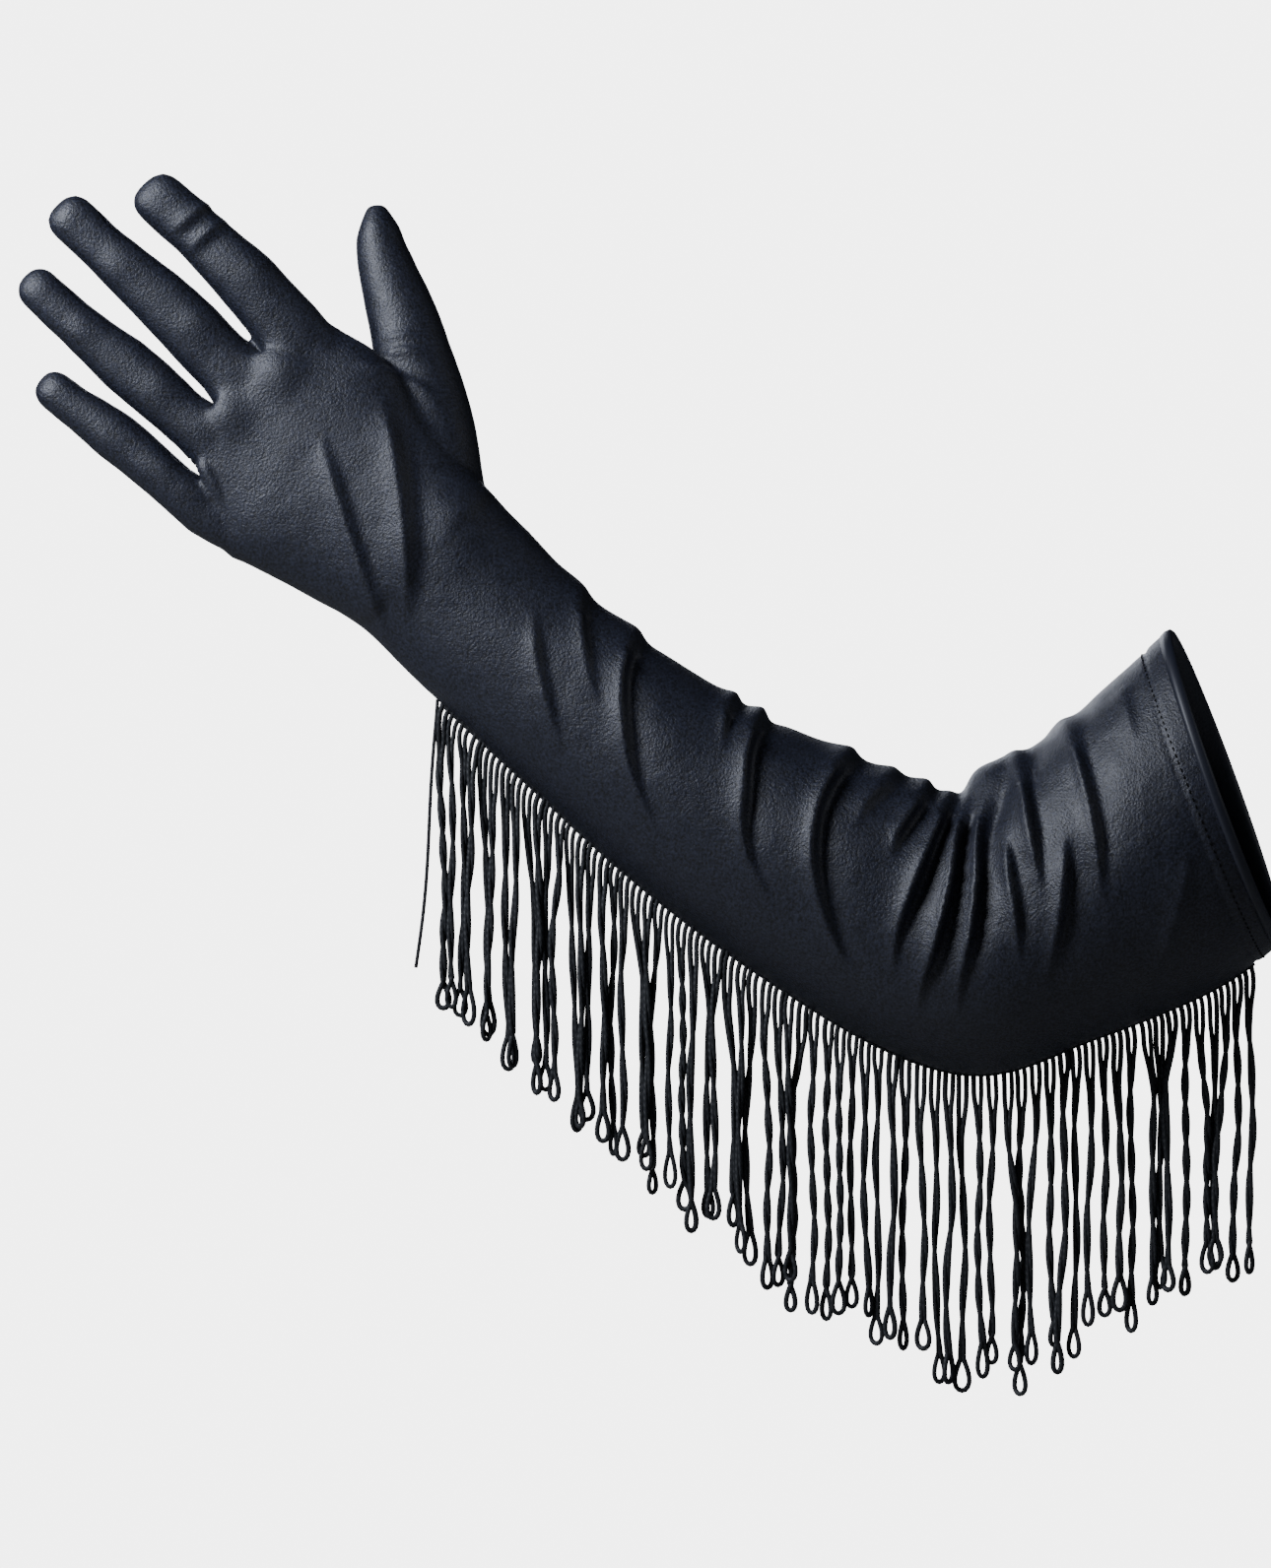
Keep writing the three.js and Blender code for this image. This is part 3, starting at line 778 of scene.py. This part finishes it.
def add_fringe():
    cuts = seam_cuts(TOTAL * 2)
    centres = {TOTAL - j: cuts[2 * j + 1] for j in range(TOTAL)}  # numbered from the wrist
    roots = {n: seam_point(u, -0.4) for n, u in centres.items()}
    sections = []
    for k in range(SECTIONS):
        paths, radius = [], []
        for j in range(k * STRANDS, (k + 1) * STRANDS):
            number = TOTAL - j
            rng = random.Random(1000 + number)
            paths.append(strand_path(number, centres[number], roots, rng))
            radius.append(YARN / 2 * rng.uniform(0.92, 1.08))
        if k == SECTIONS - 1:
            top = seam_point(FRINGE_TO_U, -0.4)
            paths.append([
                top + Vector((-1.5 - 7.5 * (max(s, 0) / 92) ** 1.3 - 0.6 * math.sin(s / 14), 0.5, -s))
                for s in np.arange(-1, 92, 3)
            ])
            radius.append(0.7)
        sections.append(yarn_object(f"fringe_strands_{k + 1:02d}", paths, radius))
    return cuts, sections


def tape_object(name, start, end):
    """A stretch of the narrow corded tape that the strands are sewn to."""
    count = max(4, round((end - start) * 14))
    path = [seam_point(start + (end - start) * i / count, 0.1) for i in range(count + 1)]
    return yarn_object(name, [path], [0.8])


# ---- Materials ----

def linear(code):
    """An sRGB hex colour as linear red, green, blue and alpha."""
    parts = [int(code[i:i + 2], 16) / 255 for i in (1, 3, 5)]
    return (*[c / 12.92 if c <= 0.04045 else ((c + 0.055) / 1.055) ** 2.4 for c in parts], 1)


def add_node(tree, kind, settings=(), **inputs):
    """Adds a node. Inputs are given by name, with _ for a space, as a value or another socket."""
    node = tree.nodes.new(kind)
    for key, value in dict(settings).items():
        setattr(node, key, value)
    for key, value in inputs.items():
        name = key.replace("_", " ")
        socket = next(s for s in node.inputs if s.name == name and s.enabled)
        if isinstance(value, bpy.types.NodeSocket):
            tree.links.new(value, socket)
        else:
            socket.default_value = value
    return node


def new_material(name):
    material = bpy.data.materials.new(name)
    material.use_nodes = True
    tree = material.node_tree
    tree.nodes.clear()
    return material, tree


def finish_material(tree, shader):
    out = add_node(tree, "ShaderNodeOutputMaterial")
    tree.links.new(shader.outputs[0], out.inputs["Surface"])


def stretch_satin():
    """Polyester satin with elastane: floats on its face give a broad soft gloss, and tiny
    uneven floats show as a speckled grain. The grain is drawn about 0.9 mm, coarser than life."""
    material, tree = new_material("stretch_satin")
    place = add_node(tree, "ShaderNodeAttribute", {"attribute_name": "cloth_place"}).outputs["Vector"]
    grain = add_node(tree, "ShaderNodeTexNoise", Vector=place, Scale=1150.0, Detail=2.0, Roughness=0.6)
    cloud = add_node(tree, "ShaderNodeTexNoise", Vector=place, Scale=120.0, Detail=3.0)
    speckle = add_node(
        tree, "ShaderNodeMapRange", Value=grain.outputs["Fac"],
        From_Min=0.32, From_Max=0.72, To_Min=0.0, To_Max=1.0,
    )
    colour = add_node(tree, "ShaderNodeMix", {"data_type": "RGBA"})
    tree.links.new(speckle.outputs[0], colour.inputs[0])
    colour.inputs[6].default_value = linear("#010206")
    colour.inputs[7].default_value = linear("#272b3a")
    rough = add_node(
        tree, "ShaderNodeMapRange", Value=cloud.outputs["Fac"],
        From_Min=0.3, From_Max=0.7, To_Min=0.46, To_Max=0.54,
    )
    bump = add_node(
        tree, "ShaderNodeBump", Strength=1.0, Distance=0.0003, Height=grain.outputs["Fac"]
    )
    shader = add_node(
        tree, "ShaderNodeBsdfPrincipled",
        Base_Color=colour.outputs[2], Roughness=rough.outputs[0], Normal=bump.outputs[0],
        Specular_IOR_Level=0.5, IOR=1.5,
    )
    finish_material(tree, shader)
    return material


def rayon_yarn():
    """Chainette rayon yarn: matt in its grooves, a little gloss on the plies."""
    material, tree = new_material("rayon_yarn")
    place = add_node(tree, "ShaderNodeTexCoord").outputs["Object"]
    fuzz = add_node(tree, "ShaderNodeTexNoise", Vector=place, Scale=1600.0, Detail=2.0)
    plies = add_node(
        tree, "ShaderNodeTexWave", {"bands_direction": "DIAGONAL"},
        Vector=place, Scale=260.0, Distortion=1.5,
    )
    colour = add_node(tree, "ShaderNodeMix", {"data_type": "RGBA"})
    tree.links.new(fuzz.outputs["Fac"], colour.inputs[0])
    colour.inputs[6].default_value = linear("#07090b")
    colour.inputs[7].default_value = linear("#1b1e23")
    bump = add_node(tree, "ShaderNodeBump", Strength=0.6, Distance=0.0002, Height=plies.outputs["Fac"])
    shader = add_node(
        tree, "ShaderNodeBsdfPrincipled",
        Base_Color=colour.outputs[2], Roughness=0.62, Normal=bump.outputs[0], Specular_IOR_Level=0.4,
    )
    finish_material(tree, shader)
    return material


def polyester_thread():
    """Spun polyester sewing thread: fine, even and slightly duller than the satin."""
    material, tree = new_material("polyester_thread")
    place = add_node(tree, "ShaderNodeTexCoord").outputs["Object"]
    fuzz = add_node(tree, "ShaderNodeTexNoise", Vector=place, Scale=3000.0, Detail=2.0)
    colour = add_node(tree, "ShaderNodeMix", {"data_type": "RGBA"})
    tree.links.new(fuzz.outputs["Fac"], colour.inputs[0])
    colour.inputs[6].default_value = linear("#020203")
    colour.inputs[7].default_value = linear("#0a0b0d")
    shader = add_node(
        tree, "ShaderNodeBsdfPrincipled",
        Base_Color=colour.outputs[2], Roughness=0.8, Specular_IOR_Level=0.15,
    )
    finish_material(tree, shader)
    return material


def covered_elastic():
    """Rubber strands under a braided polyester cover, with a fine rib across the band."""
    material, tree = new_material("covered_elastic")
    place = add_node(tree, "ShaderNodeTexCoord").outputs["Object"]
    rib = add_node(tree, "ShaderNodeTexWave", Vector=place, Scale=400.0)
    colour = add_node(tree, "ShaderNodeMix", {"data_type": "RGBA"})
    tree.links.new(rib.outputs["Fac"], colour.inputs[0])
    colour.inputs[6].default_value = linear("#0a0a0c")
    colour.inputs[7].default_value = linear("#1a1a1e")
    shader = add_node(tree, "ShaderNodeBsdfPrincipled", Base_Color=colour.outputs[2], Roughness=0.8)
    finish_material(tree, shader)
    return material


# ---- Studio ----

def add_camera():
    data = bpy.data.cameras.new("camera")
    data.lens = 100
    data.sensor_width = 36
    camera = bpy.data.objects.new("camera", data)
    camera.location = (-0.1973, -1.46, 0.0013)
    camera.rotation_euler = (math.pi / 2, 0, 0)
    bpy.context.scene.collection.objects.link(camera)
    bpy.context.scene.camera = camera


def area_light(name, place, aim, size, power):
    data = bpy.data.lights.new(name, "AREA")
    data.size = size
    data.energy = power
    data.color = linear("#eef3ff")[:3]
    light = bpy.data.objects.new(name, data)
    light.location = place
    light.rotation_euler = (Vector(aim) - Vector(place)).to_track_quat("-Z", "Y").to_euler()
    bpy.context.scene.collection.objects.link(light)


def lit_for_camera(tree, shader, colour, strength):
    """The shader for light, and a plain bright colour where the camera sees it directly."""
    seen = add_node(tree, "ShaderNodeLightPath").outputs["Is Camera Ray"]
    plain = add_node(tree, "ShaderNodeEmission", Color=colour, Strength=strength)
    mix = add_node(tree, "ShaderNodeMixShader")
    tree.links.new(seen, mix.inputs[0])
    tree.links.new(shader.outputs[0], mix.inputs[1])
    tree.links.new(plain.outputs[0], mix.inputs[2])
    return mix


def add_studio():
    bm = bmesh.new()
    bmesh.ops.create_circle(bm, cap_ends=True, radius=FLOOR_RADIUS, segments=96)
    bmesh.ops.translate(bm, vec=(-200, 0, CAD_BOX[0][2] / MM - FLOOR_DROP), verts=bm.verts)
    floor = from_bmesh("floor", bm)
    material, tree = new_material("pale_floor")
    shader = add_node(tree, "ShaderNodeBsdfPrincipled", Base_Color=linear("#9c9c9a"), Roughness=0.9)
    finish_material(tree, lit_for_camera(tree, shader, linear("#ffffff"), BACKGROUND))
    floor.data.materials.append(material)
    world = bpy.data.worlds.new("studio")
    world.use_nodes = True
    tree = world.node_tree
    tree.nodes.clear()
    air = add_node(tree, "ShaderNodeBackground", Color=linear("#dfe8f4"), Strength=AMBIENT)
    seen = add_node(tree, "ShaderNodeLightPath").outputs["Is Camera Ray"]
    plain = add_node(tree, "ShaderNodeBackground", Color=linear("#ffffff"), Strength=BACKGROUND)
    mix = add_node(tree, "ShaderNodeMixShader")
    tree.links.new(seen, mix.inputs[0])
    tree.links.new(air.outputs[0], mix.inputs[1])
    tree.links.new(plain.outputs[0], mix.inputs[2])
    out = add_node(tree, "ShaderNodeOutputWorld")
    tree.links.new(mix.outputs[0], out.inputs["Surface"])
    bpy.context.scene.world = world
    middle = (-0.2, 0, 0.02)
    area_light("key", (-0.92, -0.46, 0.55), middle, 0.45, 17)
    area_light("back", (-0.5, 1.8, 0.5), middle, 1.0, 13)
    area_light("cuff_fill", (1.3, -0.35, 0.75), middle, 0.8, 3)


# ---- Assembly ----

def give(obj, material):
    obj.data.materials.clear()
    obj.data.materials.append(material)


def ride_cloth(cloth):
    """The satin pieces of the upper sleeve and forearm ride on their bodies; the others stay where they
    are made, with their transforms baked in.
    """
    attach(cloth["upper_sleeve_cloth"], "sleeve")
    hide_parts("upper_sleeve")
    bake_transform(cloth["elbow_cloth"])
    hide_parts("elbow_sleeve")
    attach(cloth["forearm_cloth"], "forearm")
    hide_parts("forearm_sleeve")
    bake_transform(cloth["hand_cloth"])
    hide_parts("wrist_sleeve", "hand_sleeve")
    for name, finger in FINGERS.items():
        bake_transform(cloth[f"{name}_cloth"])
        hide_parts(f"{name}_finger", f"{name}_root")
        for side in finger["forks"]:
            label = f"{name}_fourchette_{'little' if side > 0 else 'thumb'}_side"
            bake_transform(cloth[f"{label}_cloth"])
            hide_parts(label)
    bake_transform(cloth["thumb_cloth"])
    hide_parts("thumb", "thumb_root")


def ride_fringe(cuts, sections, yarn):
    """Strands hang from their stretch of seam, and the tape follows the seam in stretches."""
    bodies = frame["record"]["behaviour"]["bodies"]
    per = STRANDS * 2
    for k, obj in enumerate(sections):
        number = f"{k + 1:02d}"
        body = f"fringe_section_{number}"
        give(obj, yarn)
        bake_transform(obj)
        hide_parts(f"fringe_{number}")
    bending = [k for k in range(SECTIONS) if f"fringe_tape_{k + 1:02d}" in bodies]
    stretches = [("fringe_tape_upper", FRINGE_FROM_U, cuts[bending[0] * per], "sleeve")]
    for k in bending:
        name = f"fringe_tape_{k + 1:02d}"
        stretches.append((name, cuts[k * per], cuts[(k + 1) * per], name))
    stretches.append(("fringe_tape_forearm", cuts[(bending[-1] + 1) * per], FRINGE_TO_U, "forearm"))
    tapes = []
    for node, low, high, body in stretches:
        obj = tape_object(f"{node}_cord", low, high)
        give(obj, yarn)
        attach(obj, body)
        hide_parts(node)
        tapes.append(obj)
    return tapes


def assemble():
    satin = stretch_satin()
    yarn = rayon_yarn()
    thread = polyester_thread()
    elastic = covered_elastic()

    skin = joined_skin()
    fold_skin(skin)
    soften_tops(skin)
    bm = cut_skin(skin)
    surface = BVHTree.FromBMesh(bm)
    cloth = cloth_pieces(bm)
    bm.free()
    for obj in cloth.values():
        give(obj, satin)
    turning, band, stitches = add_hem(surface)
    give(turning, satin)
    give(band, elastic)
    give(stitches, thread)

    ride_cloth(cloth)
    for obj, node in ((turning, "hem_turning"), (band, "cuff_elastic"), (stitches, "hem_stitching")):
        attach(obj, "sleeve")
        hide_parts(node)
    cuts, sections = add_fringe()
    tapes = ride_fringe(cuts, sections, yarn)


add_camera()
add_studio()
assemble()
